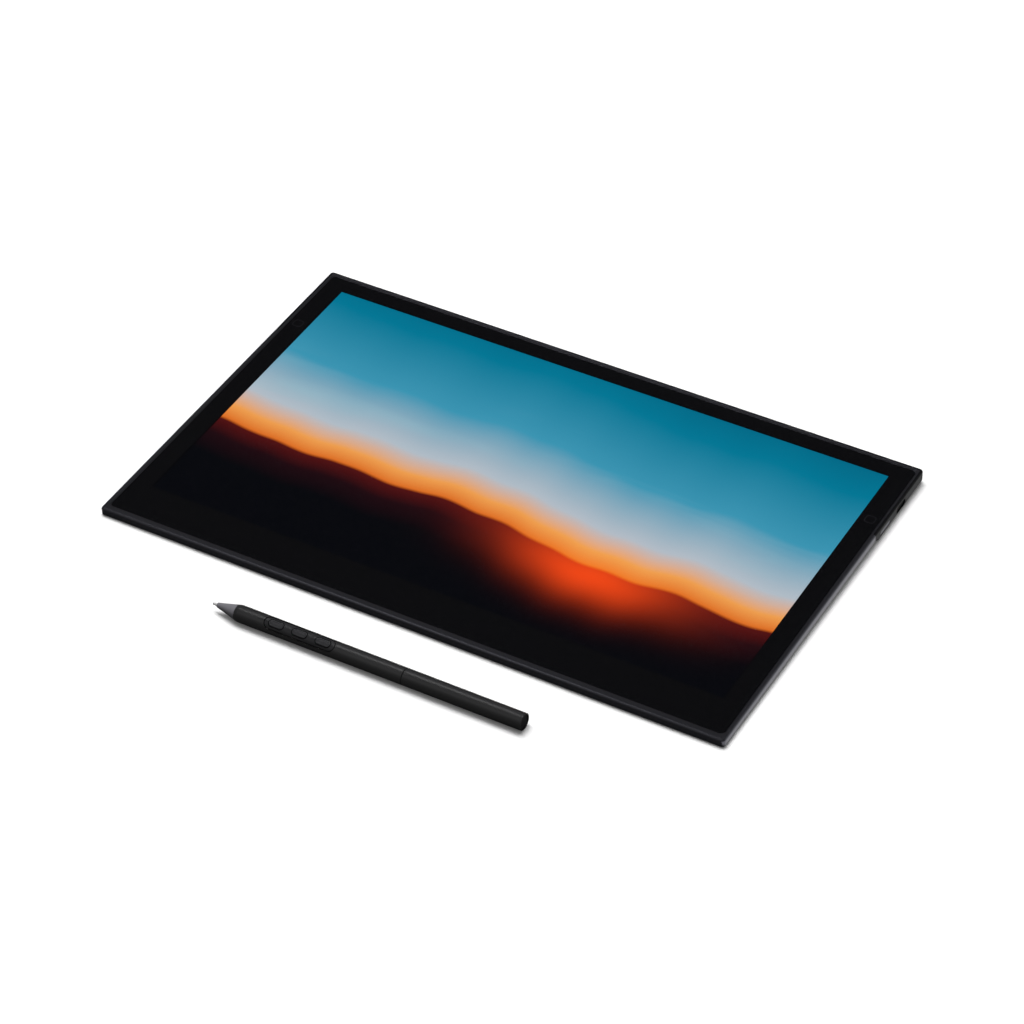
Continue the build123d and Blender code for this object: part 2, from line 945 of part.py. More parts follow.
def button_station(index):
    return island_middle + (index - 1) * button_pitch


def button_prism(grow, station):
    outline = cut_corners(button_length + 2 * grow, button_width + 2 * grow, button_corner)
    return across_pen(outline, station)


def button_island():
    island = tube(barrel_bore, pen_radius - island_drop, island_start, island_start + island_length)
    island &= island_window(-nest_gap)
    for index in range(3):
        island -= button_prism(running_gap, button_station(index))
    return island


def side_button(index):
    station = button_station(index)
    low = station - button_length
    high = station + button_length
    cap = tube(button_inner_radius, pen_radius + button_proud, low, high) & button_prism(0, station)
    flange = tube(button_inner_radius, barrel_bore - nest_gap, low, high)
    outline = Rectangle(button_length + 2 * button_flange, button_width)
    return cap + (flange & across_pen(outline, station))


def side_switches():
    switches = []
    for index in range(3):
        body = Box(pen_switch_height, pen_switch_side, pen_switch_side)
        top = pen_board_top + pen_switch_height
        reach = button_inner_radius - button_travel - stop_gap - top
        body = Pos(top - pen_switch_height / 2, 0, 0) * body
        body += Pos(top + reach / 2, 0, 0) * Box(reach, pen_plunger_side, pen_plunger_side)
        switches.append(Pos(0, 0, button_station(index)) * body)
    return Compound(switches)


def pen_board():
    board = block(
        pen_board_height,
        pen_board_top,
        -pen_board_width / 2,
        pen_board_width / 2,
        pen_board_start,
        pen_board_end,
    )
    chip = Box(pen_chip_height, pen_chip_side, pen_chip_side)
    return board + Pos(pen_board_top + pen_chip_height / 2, 0, pen_board_end - pen_chip_from_end) * chip


# Carrier inside the barrel, with the sensing coil and the pressure gauge in its front end

def core_carrier():
    carrier = rod(carrier_radius, carrier_start, carrier_end)
    carrier -= rod(carrier_bore, 0, gauge_end)
    return carrier - block(
        pen_board_height,
        2 * pen_radius,
        -pen_radius,
        pen_radius,
        pen_board_start - carrier_end_gap,
        carrier_end + overrun,
    )


def ferrite_core():
    return tube(ferrite_bore, ferrite_radius, ferrite_start, ferrite_end)


def antenna_coil():
    return tube(ferrite_radius, winding_radius, ferrite_start + winding_inset, ferrite_end - winding_inset)


def pressure_gauge():
    socket_end = nib_length + nib_travel + stop_gap
    body = Box(gauge_side, gauge_side, gauge_length)
    return Pos(0, 0, (gauge_start + gauge_end) / 2) * body - rod(nib_radius + running_gap, 0, socket_end)


# Rear half of the pen, which comes off the collar to reach the spare nibs

def threaded_collar():
    return tube(collar_bore, barrel_bore - running_gap, collar_start, collar_end)


def nib_holder():
    holder = rod(collar_bore - running_gap, barrel_split, holder_end)
    hole_end = nib_tip_station - nib_length
    for spot in PolarLocations(spare_nib_orbit, holder_slots):
        holder -= spot * rod(nib_radius + running_gap, hole_end, holder_end + overrun)
    return holder


def spare_nibs():
    turned_nib = Pos(0, 0, nib_tip_station) * Rot(180, 0, 0) * nib()
    return Compound([spot * turned_nib for spot in PolarLocations(spare_nib_orbit, holder_slots)])


def rear_barrel():
    start = barrel_split + running_gap
    recess = tail_disc_radius + nest_gap
    return turned(
        [
            (barrel_bore, start),
            (pen_radius, start),
            (pen_radius, pen_length - tail_chamfer),
            (pen_radius - tail_chamfer, pen_length),
            (recess, pen_length),
            (recess, tail_floor),
            (0, tail_floor),
            (0, weight_end),
            (barrel_bore, weight_end),
        ]
    )


def balance_weight():
    return rod(barrel_bore - running_gap, weight_start, weight_end)


def tail_disc():
    return rod(tail_disc_radius, tail_floor, pen_length - tail_recess)


# Place every piece and write it out

def flip(shape):
    """The same piece on the left side."""
    return mirror(shape, about=Plane.YZ)


tablet_pieces = {
    "cover_glass": cover_glass(),
    "border_print": border_print(),
    "optical_bond": optical_bond(),
    "display_panel": display_panel(),
    "driver_board": driver_board(),
    "display_ribbon": display_ribbon(),
    "display_cable": display_cable(),
    "sensor_sheet": sensor_sheet(),
    "sensor_tail": sensor_tail(),
    "shield_plate": shield_plate(),
    "touch_pad_left": touch_pad(-1),
    "touch_pad_right": touch_pad(1),
    "glass_gasket": glass_gasket(),
    "mid_frame": mid_frame(),
    "rear_cover": rear_cover(),
    "main_board": main_board(),
    "small_board": small_board(),
    "board_link": board_link(),
    "shield_can": shield_can(),
    "thermal_pad": thermal_pad(),
    "port_shell_left": flip(port_shell()),
    "port_shell_right": port_shell(),
    "port_core_left": flip(port_core()),
    "port_core_right": port_core(),
    "power_key": power_key(),
    "power_switch": power_switch(),
    "cover_screws": cover_screws(),
}

pen_pieces = {
    "pen_nib": nib(),
    "nose_cone": nose_cone(),
    "front_barrel": front_barrel(),
    "button_island": button_island(),
    "side_button_front": side_button(0),
    "side_button_middle": side_button(1),
    "side_button_rear": side_button(2),
    "side_switches": side_switches(),
    "pen_board": pen_board(),
    "core_carrier": core_carrier(),
    "ferrite_core": ferrite_core(),
    "antenna_coil": antenna_coil(),
    "pressure_gauge": pressure_gauge(),
    "threaded_collar": threaded_collar(),
    "nib_holder": nib_holder(),
    "spare_nibs": spare_nibs(),
    "rear_barrel": rear_barrel(),
    "balance_weight": balance_weight(),
    "tail_disc": tail_disc(),
}

feet = {
    "foot_front_left": foot(0),
    "foot_rear_left": foot(1),
    "foot_front_right": foot(2),
    "foot_rear_right": foot(3),
}

for name, piece in tablet_pieces.items():
    export_step(tablet_place * piece, f"parts/{name}.step")
for name, piece in pen_pieces.items():
    export_step(pen_place * piece, f"parts/{name}.step")
for name, piece in feet.items():
    export_step(piece, f"parts/{name}.step")
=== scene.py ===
import bpy
import bmesh
import json
import math
from mathutils import Matrix, Vector


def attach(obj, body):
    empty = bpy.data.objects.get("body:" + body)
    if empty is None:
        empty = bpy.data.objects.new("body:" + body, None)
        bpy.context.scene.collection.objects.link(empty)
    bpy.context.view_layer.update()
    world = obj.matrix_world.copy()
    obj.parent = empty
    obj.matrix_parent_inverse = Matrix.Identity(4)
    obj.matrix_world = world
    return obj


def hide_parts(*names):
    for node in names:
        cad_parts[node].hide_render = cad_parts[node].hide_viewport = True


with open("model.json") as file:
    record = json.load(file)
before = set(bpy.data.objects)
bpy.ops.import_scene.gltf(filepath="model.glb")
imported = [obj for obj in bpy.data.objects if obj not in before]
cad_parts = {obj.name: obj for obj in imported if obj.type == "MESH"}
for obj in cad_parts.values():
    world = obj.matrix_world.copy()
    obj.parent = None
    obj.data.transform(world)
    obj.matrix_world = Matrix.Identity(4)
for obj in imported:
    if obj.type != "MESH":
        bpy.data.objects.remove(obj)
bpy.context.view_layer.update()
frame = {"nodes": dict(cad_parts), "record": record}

nodes = frame["nodes"]
mm = 0.001
print("scene: frame loaded,", len(nodes), "nodes")

# where the tablet and the pen stand, as in the build
tablet = {"tilt": 0.0146649, "shiftY": 16.9, "drop": 0.757985}
pen = {"tipX": -78.5, "axisY": -113.4, "axisZ": 4.0, "lean": 25.0, "radius": 4.0}


def onTablet(x, y, z):  # a point given in the level tablet, in millimetres
    c, s = math.cos(tablet["tilt"]), math.sin(tablet["tilt"])
    return Vector((x, y * c - z * s + tablet["shiftY"], y * s + z * c - tablet["drop"])) * mm


def offTablet(point):  # the other way round: a point of the scene in the level tablet
    c, s = math.cos(tablet["tilt"]), math.sin(tablet["tilt"])
    y, z = point[1] / mm - tablet["shiftY"], point[2] / mm + tablet["drop"]
    return point[0] / mm, y * c + z * s, z * c - y * s


def onPen(station, across, out):  # along the pen, across the buttons, out towards them
    lean = math.radians(pen["lean"])
    y = pen["axisY"] - out * math.sin(lean) + across * math.cos(lean)
    z = pen["axisZ"] + out * math.cos(lean) + across * math.sin(lean)
    return Vector((pen["tipX"] + station, y, z)) * mm


# camera, set where the photograph was taken from

view = {
    "place": (638.72, -1075.839, 1067.913),
    "right": (0.86926, 0.49413, -0.01482),
    "down": (0.31037, -0.56884, -0.76163),
    "ahead": (-0.38478, 0.65746, -0.64784),
    "focalPixels": 3617.09,
    "framePixels": 1024,
    "sensor": 36.0,
    "clipEnd": 50.0,
}

cameraData = bpy.data.cameras.new("photoCamera")
cameraData.sensor_fit = "HORIZONTAL"
cameraData.sensor_width = view["sensor"]
cameraData.lens = view["focalPixels"] / view["framePixels"] * view["sensor"]
cameraData.clip_end = view["clipEnd"]
camera = bpy.data.objects.new("photoCamera", cameraData)
bpy.context.collection.objects.link(camera)
turned = Matrix((view["right"], [-v for v in view["down"]], [-v for v in view["ahead"]])).transposed().to_4x4()
camera.matrix_world = Matrix.Translation(Vector(view["place"]) * mm) @ turned
bpy.context.scene.camera = camera
print("scene: camera set")


# node tree helpers

maskOff, maskOn = (0, 0, 0, 1), (1, 1, 1, 1)


def tone(red, green, blue):  # screen colour to scene colour
    def straight(v):
        v /= 255
        return v / 12.92 if v <= 0.04045 else ((v + 0.055) / 1.055) ** 2.4
    return (straight(red), straight(green), straight(blue), 1.0)


def add(tree, kind, inputs=None, **settings):
    node = tree.nodes.new(kind)
    for name, value in settings.items():
        setattr(node, name, value)
    for name, value in (inputs or {}).items():
        socket = node.inputs[name]
        if isinstance(value, bpy.types.NodeSocket):
            tree.links.new(value, socket)
        else:
            socket.default_value = value
    return node


def maths(tree, operation, *values):
    return add(tree, "ShaderNodeMath", dict(enumerate(values)), operation=operation).outputs[0]


def ramp(tree, factor, stops):
    node = add(tree, "ShaderNodeValToRGB", {"Fac": factor})
    elements = node.color_ramp.elements
    while len(elements) < len(stops):
        elements.new(0.5)
    for element, (place, colour) in zip(elements, stops):
        element.position = place
        element.color = colour
    return node.outputs["Color"]


def blendColours(tree, factor, first, second, mode="MIX"):
    node = add(tree, "ShaderNodeMix", data_type="RGBA", blend_type=mode)
    for socket, value in zip((node.inputs[0], node.inputs[6], node.inputs[7]), (factor, first, second)):
        if isinstance(value, bpy.types.NodeSocket):
            tree.links.new(value, socket)
        else:
            socket.default_value = value
    return node.outputs[2]


def spread(tree, value, low, high):  # 0 to 1 becomes low to high
    return add(tree, "ShaderNodeMapRange", {"Value": value, "To Min": low, "To Max": high}).outputs["Result"]


def halfway(tree, first, second):
    return maths(tree, "MULTIPLY_ADD", first, 0.5, maths(tree, "MULTIPLY", second, 0.5))


def newFinish(name, **sockets):
    material = bpy.data.materials.new(name)
    material.use_nodes = True
    tree = material.node_tree
    tree.nodes.clear()
    shader = add(tree, "ShaderNodeBsdfPrincipled", sockets)
    add(tree, "ShaderNodeOutputMaterial", {"Surface": shader.outputs[0]})
    coords = add(tree, "ShaderNodeTexCoord").outputs["Object"]
    return material, tree, shader, coords


def grain(tree, coords, scale, stretch=(1, 1, 1), detail=3.0, rough=0.5):
    mapped = add(tree, "ShaderNodeMapping", {"Vector": coords, "Scale": stretch}).outputs[0]
    sockets = {"Vector": mapped, "Scale": scale, "Detail": detail, "Roughness": rough}
    return add(tree, "ShaderNodeTexNoise", sockets).outputs["Fac"]


def bumped(tree, shader, height, strength, depth):
    node = add(tree, "ShaderNodeBump", {"Strength": strength, "Distance": depth * mm, "Height": height})
    tree.links.new(node.outputs[0], shader.inputs["Normal"])


def grainedFinish(name, dark, light, rough, scale, stretch=(1, 1, 1), bump=0.2, depth=0.02, cloud=30, **sockets):
    # fine moulded or blasted grain over slow colour clouds
    material, tree, shader, coords = newFinish(name, **sockets)
    fine = grain(tree, coords, scale, stretch)
    slow = grain(tree, coords, cloud)
    mixed = halfway(tree, fine, slow)
    tree.links.new(blendColours(tree, mixed, dark, light), shader.inputs["Base Color"])
    tree.links.new(spread(tree, mixed, *rough), shader.inputs["Roughness"])
    bumped(tree, shader, fine, bump, depth)
    return material


# finishes of the tablet's outside

def makeCoverGlass():
    glass = {
        "clear": 0.04, "bend": 1.45, "rough": (0.12, 0.18), "wearScale": 60,
        "etchScale": 9000, "etchStrength": 0.02, "etchDepth": 0.001,
    }
    material, tree, shader, coords = newFinish("etchedGlass", Alpha=glass["clear"], IOR=glass["bend"])
    etch = grain(tree, coords, glass["etchScale"])
    wear = grain(tree, coords, glass["wearScale"])
    tree.links.new(spread(tree, wear, *glass["rough"]), shader.inputs["Roughness"])
    tree.links.new(blendColours(tree, etch, tone(10, 11, 12), tone(16, 17, 18)), shader.inputs["Base Color"])
    bumped(tree, shader, etch, glass["etchStrength"], glass["etchDepth"])
    return material


def makeBorderInk():
    ink = {
        "bend": 1.05, "speckScale": 4000, "rough": (0.5, 0.7), "bump": 0.05, "bumpDepth": 0.005, "layerZ": 5.9,
        "markX": 152.45, "markY": 58.0, "markRadius": 2.3, "markLine": 0.16, "markPower": 4.0,
    }
    material, tree, shader, coords = newFinish("borderInk", IOR=ink["bend"])
    centre = onTablet(ink["markX"], ink["markY"], ink["layerZ"])
    split = add(tree, "ShaderNodeSeparateXYZ", {"Vector": coords})
    awayX = maths(tree, "SUBTRACT", maths(tree, "ABSOLUTE", split.outputs[0]), centre.x)
    awayY = maths(tree, "SUBTRACT", split.outputs[1], centre.y)
    # each touch key is marked by a ring with soft corners, from a fourth-power distance
    power = ink["markPower"]
    away = maths(tree, "ADD", maths(tree, "POWER", awayX, power), maths(tree, "POWER", awayY, power))
    away = maths(tree, "POWER", away, 1 / power)
    ring = maths(tree, "COMPARE", away, ink["markRadius"] * mm, ink["markLine"] * mm)
    speck = grain(tree, coords, ink["speckScale"])
    black = blendColours(tree, speck, tone(8, 8, 10), tone(12, 12, 14))
    tree.links.new(blendColours(tree, ring, black, tone(32, 32, 35)), shader.inputs["Base Color"])
    tree.links.new(spread(tree, speck, *ink["rough"]), shader.inputs["Roughness"])
    bumped(tree, shader, speck, ink["bump"], ink["bumpDepth"])
    return material


def makeClearBond():
    bond = {"clear": 0.004, "bend": 1.02, "speckScale": 300, "rough": (0.1, 0.25)}
    material, tree, shader, coords = newFinish("clearBond", Alpha=bond["clear"], IOR=bond["bend"])
    speck = grain(tree, coords, bond["speckScale"])
    tree.links.new(blendColours(tree, speck, tone(24, 27, 28), tone(32, 35, 36)), shader.inputs["Base Color"])
    tree.links.new(spread(tree, speck, *bond["rough"]), shader.inputs["Roughness"])
    return material


# sizes and places inside the picture are shares of its width and height
picture = {
    "width": 293.76, "height": 165.24, "middleY": 6.6, "layerZ": 5.6, "strength": 1.06, "bend": 1.04,
    "speckScale": 5000, "rough": (0.3, 0.4),
    "horizonLeft": 0.26, "horizonRise": -0.07, "horizonSoft": 0.012,
    "hillHeight": 0.16, "hillScale": 3.4, "hillDetail": 2.0, "nightReach": 0.95,
    "wispAlong": 1.5, "wispUp": 9.0, "wispScale": 1.6, "wispDetail": 5.0, "wispTwist": 0.6,
    "wispFrom": 0.52, "wispTo": 0.75, "wispLow": 0.06, "wispMiddle": 0.2, "wispHigh": 0.45, "wispShare": 0.3,
    "glowX": 0.7, "glowWide": 0.13, "glowHigh": 0.09, "glowDrop": 0.03,
}


def makePicture():
    # a plain dusk sky over soft hills, lit from behind
    size = picture
    material, tree, shader, coords = newFinish(
        "litPanel", **{"Emission Strength": size["strength"], "IOR": size["bend"]})
    corner = onTablet(-size["width"] / 2, size["middleY"] - size["height"] / 2, size["layerZ"])
    split = add(tree, "ShaderNodeSeparateXYZ", {"Vector": coords})

    def bell(distance, reach):  # 1 in the middle, falling away softly
        share = maths(tree, "DIVIDE", distance, reach)
        return maths(tree, "EXPONENT", maths(tree, "MULTIPLY", maths(tree, "MULTIPLY", share, share), -1.0))

    u = maths(tree, "DIVIDE", maths(tree, "SUBTRACT", split.outputs[0], corner.x), size["width"] * mm)
    v = maths(tree, "DIVIDE", maths(tree, "SUBTRACT", split.outputs[1], corner.y), size["height"] * mm)
    along = add(tree, "ShaderNodeCombineXYZ", {"X": u}).outputs[0]
    hills = add(tree, "ShaderNodeTexNoise", {
        "Vector": along, "Scale": size["hillScale"], "Detail": size["hillDetail"]}).outputs["Fac"]
    horizon = maths(tree, "MULTIPLY_ADD", u, size["horizonRise"], size["horizonLeft"])
    horizon = maths(tree, "MULTIPLY_ADD", hills, size["hillHeight"], horizon)
    above = maths(tree, "SUBTRACT", v, horizon)
    # the sky runs from orange through a pale band to dark teal
    night = maths(tree, "DIVIDE", above, size["nightReach"])
    sky = ramp(tree, night, [
        (0.0, tone(220, 100, 20)), (0.07, tone(240, 160, 80)), (0.16, tone(180, 190, 200)),
        (0.38, tone(60, 150, 180)), (0.65, tone(0, 120, 150)), (1.0, tone(0, 75, 105)),
    ])
    # thin cloud wisps low in the sky
    wide = add(tree, "ShaderNodeCombineXYZ", {
        "X": maths(tree, "MULTIPLY", u, size["wispAlong"]), "Y": maths(tree, "MULTIPLY", v, size["wispUp"])})
    wisps = add(tree, "ShaderNodeTexNoise", {
        "Vector": wide.outputs[0], "Scale": size["wispScale"], "Detail": size["wispDetail"],
        "Distortion": size["wispTwist"]})
    wisp = ramp(tree, wisps.outputs["Fac"], [(size["wispFrom"], maskOff), (size["wispTo"], maskOn)])
    low = ramp(tree, above, [(size["wispLow"], maskOff), (size["wispMiddle"], maskOn), (size["wispHigh"], maskOff)])
    cloud = maths(tree, "MULTIPLY", maths(tree, "MULTIPLY", wisp, low), size["wispShare"])
    sky = blendColours(tree, cloud, sky, tone(150, 200, 212))
    # the land, black but for a dark red edge
    land = ramp(tree, maths(tree, "MULTIPLY", above, -1.0), [
        (0.0, tone(80, 16, 16)), (0.06, tone(30, 8, 14)), (0.14, tone(4, 5, 9)),
    ])
    isLand = ramp(tree, above, [(0.0, maskOn), (size["horizonSoft"], maskOff)])
    shown = blendColours(tree, isLand, sky, land)
    # glow of the set sun behind the hills
    glow = bell(maths(tree, "SUBTRACT", u, size["glowX"]), size["glowWide"])
    glow = maths(tree, "MULTIPLY", glow, bell(maths(tree, "ADD", above, size["glowDrop"]), size["glowHigh"]))
    shown = blendColours(tree, glow, shown, tone(240, 70, 10), "SCREEN")
    # black outside the picture's own area
    inside = maths(tree, "MULTIPLY", maths(tree, "COMPARE", u, 0.5, 0.5), maths(tree, "COMPARE", v, 0.5, 0.5))
    tree.links.new(blendColours(tree, inside, maskOff, shown), shader.inputs["Emission Color"])
    speck = grain(tree, coords, size["speckScale"])
    tree.links.new(blendColours(tree, speck, tone(1, 1, 2), tone(3, 3, 4)), shader.inputs["Base Color"])
    tree.links.new(spread(tree, speck, *size["rough"]), shader.inputs["Roughness"])
    return material


def makeFrameMetal():
    # blasted dark metal with painted shade: it turns black and loses its reflection towards the lower edge of the
    # front wall, in place of the shadowed floor that wall faces
    paintedShade = {"high": 4.6, "low": 2.5, "frontY": -99.3}
    look = {
        "fineScale": 2600, "slowScale": 30, "rough": (0.28, 0.38), "metallic": 0.96, "specular": 0.5,
        "bump": 0.12, "bumpDepth": 0.01,
    }
    material, tree, shader, coords = newFinish("blastedFrameMetalWithPaintedShade")
    split = add(tree, "ShaderNodeSeparateXYZ", {"Vector": coords})
    c, s = math.cos(tablet["tilt"]), math.sin(tablet["tilt"])
    levelZ = (tablet["drop"] * c + tablet["shiftY"] * s) * mm
    levelY = (tablet["drop"] * s - tablet["shiftY"] * c) * mm
    z = maths(tree, "MULTIPLY_ADD", split.outputs[2], c, maths(tree, "MULTIPLY_ADD", split.outputs[1], -s, levelZ))
    y = maths(tree, "MULTIPLY_ADD", split.outputs[2], s, maths(tree, "MULTIPLY_ADD", split.outputs[1], c, levelY))
    upper = add(tree, "ShaderNodeMapRange", {
        "Value": z, "From Min": paintedShade["low"] * mm, "From Max": paintedShade["high"] * mm})
    upper = maths(tree, "MAXIMUM", upper.outputs["Result"], maths(tree, "GREATER_THAN", y, paintedShade["frontY"] * mm))
    fine = grain(tree, coords, look["fineScale"])
    slow = grain(tree, coords, look["slowScale"])
    mixed = halfway(tree, fine, slow)
    metal = blendColours(tree, mixed, tone(92, 92, 99), tone(108, 108, 116))
    # painted shade: low on the front wall the colour goes to black and the metal's reflection is turned off
    black = blendColours(tree, fine, tone(2, 2, 3), tone(5, 5, 6))
    tree.links.new(blendColours(tree, upper, black, metal), shader.inputs["Base Color"])
    tree.links.new(spread(tree, mixed, *look["rough"]), shader.inputs["Roughness"])
    tree.links.new(maths(tree, "MULTIPLY", upper, look["metallic"]), shader.inputs["Metallic"])
    tree.links.new(maths(tree, "MULTIPLY", upper, look["specular"]), shader.inputs["Specular IOR Level"])
    bumped(tree, shader, fine, look["bump"], look["bumpDepth"])
    return material


finishes = {
    "cover_glass": makeCoverGlass(),
    "border_ink": makeBorderInk(),
    "clear_bond": makeClearBond(),
    "display": makePicture(),
    "frame_metal": makeFrameMetal(),
}
finishes["cover_plastic"] = grainedFinish(
    "mattCoverPlastic", tone(16, 16, 18), tone(24, 24, 26), rough=(0.36, 0.5), scale=1800, bump=0.25, depth=0.02,
    IOR=1.18)
finishes["key_metal"] = grainedFinish(
    "keyMetal", tone(72, 71, 80), tone(92, 91, 102), rough=(0.3, 0.4), scale=2400, stretch=(1, 0.1, 1), bump=0.1,
    depth=0.01, Metallic=0.9)
finishes["foot_rubber"] = grainedFinish(
    "footRubber", tone(20, 20, 21), tone(30, 30, 31), rough=(0.75, 0.9), scale=1400, bump=0.5, depth=0.05)
finishes["port_steel"] = grainedFinish(
    "portSteel", tone(150, 150, 154), tone(190, 190, 194), rough=(0.22, 0.36), scale=1500, stretch=(1, 8, 8),
    bump=0.1, depth=0.01, Metallic=1.0)


def makePortPlastic():
    contacts = {
        "pitch": 0.5, "share": 0.5, "goldShare": 0.6, "speckScale": 3000, "rough": (0.35, 0.5),
        "bump": 0.2, "bumpDepth": 0.02,
    }
    material, tree, shader, coords = newFinish("portPlastic")
    split = add(tree, "ShaderNodeSeparateXYZ", {"Vector": coords})
    stripe = maths(tree, "FRACT", maths(tree, "DIVIDE", split.outputs[1], contacts["pitch"] * mm))
    gold = maths(tree, "MULTIPLY", maths(tree, "GREATER_THAN", stripe, contacts["share"]), contacts["goldShare"])
    speck = grain(tree, coords, contacts["speckScale"])
    black = blendColours(tree, speck, tone(18, 18, 19), tone(28, 28, 30))
    tree.links.new(blendColours(tree, gold, black, tone(176, 142, 80)), shader.inputs["Base Color"])
    tree.links.new(spread(tree, speck, *contacts["rough"]), shader.inputs["Roughness"])
    bumped(tree, shader, stripe, contacts["bump"], contacts["bumpDepth"])
    return material


finishes["port_plastic"] = makePortPlastic()
print("scene: outside finishes made")


# finishes of the inside, seen only when the tablet is opened

def makeBoard():
    traces = {
        "cellScale": 900, "lineFrom": 0.62, "padTo": 0.12, "speckScale": 2500, "rough": (0.3, 0.45),
        "bump": 0.2, "bumpDepth": 0.03,
    }
    material, tree, shader, coords = newFinish("circuitBoard")
    cells = add(
        tree, "ShaderNodeTexVoronoi", {"Vector": coords, "Scale": traces["cellScale"]},
        distance="MANHATTAN", feature="F1")
    lines = maths(tree, "GREATER_THAN", cells.outputs["Distance"], traces["lineFrom"])
    pads = maths(tree, "LESS_THAN", cells.outputs["Distance"], traces["padTo"])
    speck = grain(tree, coords, traces["speckScale"])
    mask = blendColours(tree, speck, tone(14, 42, 34), tone(20, 56, 44))
    mask = blendColours(tree, lines, mask, tone(30, 78, 58))
    tree.links.new(blendColours(tree, pads, mask, tone(198, 168, 96)), shader.inputs["Base Color"])
    tree.links.new(spread(tree, speck, *traces["rough"]), shader.inputs["Roughness"])
    bumped(tree, shader, lines, traces["bump"], traces["bumpDepth"])
    return material


def makeRibbon():
    strands = {
        "pitch": 0.8, "markShare": 0.5, "speckScale": 1200, "rough": (0.3, 0.42), "bump": 0.2, "bumpDepth": 0.02,
    }
    material, tree, shader, coords = newFinish("flatRibbon")
    split = add(tree, "ShaderNodeSeparateXYZ", {"Vector": coords})
    strand = maths(tree, "PINGPONG", split.outputs[0], strands["pitch"] * mm)
    mark = maths(tree, "GREATER_THAN", strand, strands["pitch"] * mm * strands["markShare"])
    speck = grain(tree, coords, strands["speckScale"])
    amber = blendColours(tree, speck, tone(128, 74, 26), tone(150, 90, 36))
    tree.links.new(blendColours(tree, mark, amber, tone(176, 112, 52)), shader.inputs["Base Color"])
    tree.links.new(spread(tree, speck, *strands["rough"]), shader.inputs["Roughness"])
    bumped(tree, shader, mark, strands["bump"], strands["bumpDepth"])
    return material


def makeCoilWire():
    winding = {"pitch": 0.24, "rough": (0.45, 0.22), "bump": 0.8, "bumpDepth": 0.1}
    material, tree, shader, coords = newFinish("coilWire", Metallic=1.0)
    split = add(tree, "ShaderNodeSeparateXYZ", {"Vector": coords})
    turn = maths(tree, "PINGPONG", split.outputs[0], winding["pitch"] * mm / 2)
    height = maths(tree, "DIVIDE", turn, winding["pitch"] * mm / 2)
    # painted shade and highlight: each turn is coloured dark at its sides, where it meets the next turn, and bright
    # along its crest
    tree.links.new(blendColours(tree, height, tone(92, 40, 18), tone(206, 118, 70)), shader.inputs["Base Color"])
    tree.links.new(spread(tree, height, *winding["rough"]), shader.inputs["Roughness"])
    bumped(tree, shader, height, winding["bump"], winding["bumpDepth"])
    return material


finishes["board"] = makeBoard()
finishes["ribbon"] = makeRibbon()
finishes["coil_wire"] = makeCoilWire()
finishes["shield"] = grainedFinish(
    "shieldFoil", tone(150, 152, 156), tone(186, 188, 190), rough=(0.28, 0.45), scale=700, stretch=(1, 14, 14),
    bump=0.15, Metallic=1.0)
finishes["adhesive"] = grainedFinish(
    "gasketFoam", tone(20, 20, 21), tone(34, 34, 35), rough=(0.8, 0.95), scale=3000, bump=0.6, depth=0.05)
finishes["electrode"] = grainedFinish(
    "electrodeFoil", tone(168, 108, 66), tone(204, 142, 92), rough=(0.25, 0.4), scale=1800, bump=0.1,
    Metallic=1.0)
finishes["thermal_pad"] = grainedFinish(
    "heatPad", tone(96, 118, 140), tone(120, 142, 160), rough=(0.6, 0.75), scale=1600, bump=0.5, depth=0.05)
finishes["switch_plastic"] = grainedFinish(
    "switchPlastic", tone(26, 26, 27), tone(42, 42, 43), rough=(0.4, 0.5), scale=2200)
finishes["screw_steel"] = grainedFinish(
    "screwSteel", tone(96, 96, 98), tone(150, 150, 152), rough=(0.25, 0.4), scale=2600, stretch=(1, 1, 6),
    bump=0.3, Metallic=1.0)
finishes["nib_plastic"] = grainedFinish(
    "nibPlastic", tone(186, 186, 186), tone(206, 206, 205), rough=(0.4, 0.55), scale=3200, bump=0.3, depth=0.01)
finishes["nose_plastic"] = grainedFinish(
    "noseConePlastic", tone(102, 101, 106), tone(124, 123, 128), rough=(0.26, 0.36), scale=2600,
    stretch=(0.2, 1, 1), bump=0.12, depth=0.01, **{"Specular IOR Level": 0.9})
finishes["barrel_plastic"] = grainedFinish(
    "softBarrelPlastic", tone(24, 24, 25), tone(33, 33, 34), rough=(0.34, 0.42), scale=3200, stretch=(0.5, 1, 1),
    bump=0.2, depth=0.01, **{"Specular IOR Level": 1.0, "IOR": 1.6})
finishes["island_plastic"] = grainedFinish(
    "islandPlastic", tone(26, 26, 28), tone(34, 34, 36), rough=(0.34, 0.42), scale=3400, bump=0.15, depth=0.01,
    **{"Specular IOR Level": 0.8})
finishes["button_plastic"] = grainedFinish(
    "buttonPlastic", tone(34, 34, 36), tone(44, 44, 47), rough=(0.3, 0.38), scale=3400, bump=0.15, depth=0.01,
    **{"Specular IOR Level": 0.9})
finishes["tail_plastic"] = grainedFinish(
    "tailPlastic", tone(36, 36, 38), tone(46, 46, 49), rough=(0.3, 0.42), scale=2600, bump=0.2, depth=0.01)
finishes["carrier_plastic"] = grainedFinish(
    "carrierPlastic", tone(196, 196, 192), tone(222, 222, 218), rough=(0.4, 0.55), scale=2000)
finishes["gauge_plastic"] = grainedFinish(
    "gaugePlastic", tone(40, 44, 62), tone(58, 62, 82), rough=(0.35, 0.5), scale=2400)
finishes["holder_plastic"] = grainedFinish(
    "holderPlastic", tone(60, 60, 64), tone(82, 82, 86), rough=(0.45, 0.6), scale=2200)
finishes["ferrite"] = grainedFinish(
    "ferriteCore", tone(34, 34, 36), tone(62, 60, 60), rough=(0.35, 0.6), scale=2600, bump=0.6, depth=0.03)
finishes["collar_metal"] = grainedFinish(
    "collarMetal", tone(112, 112, 118), tone(156, 156, 162), rough=(0.2, 0.34), scale=2200, stretch=(1, 6, 6),
    bump=0.15, Metallic=1.0)
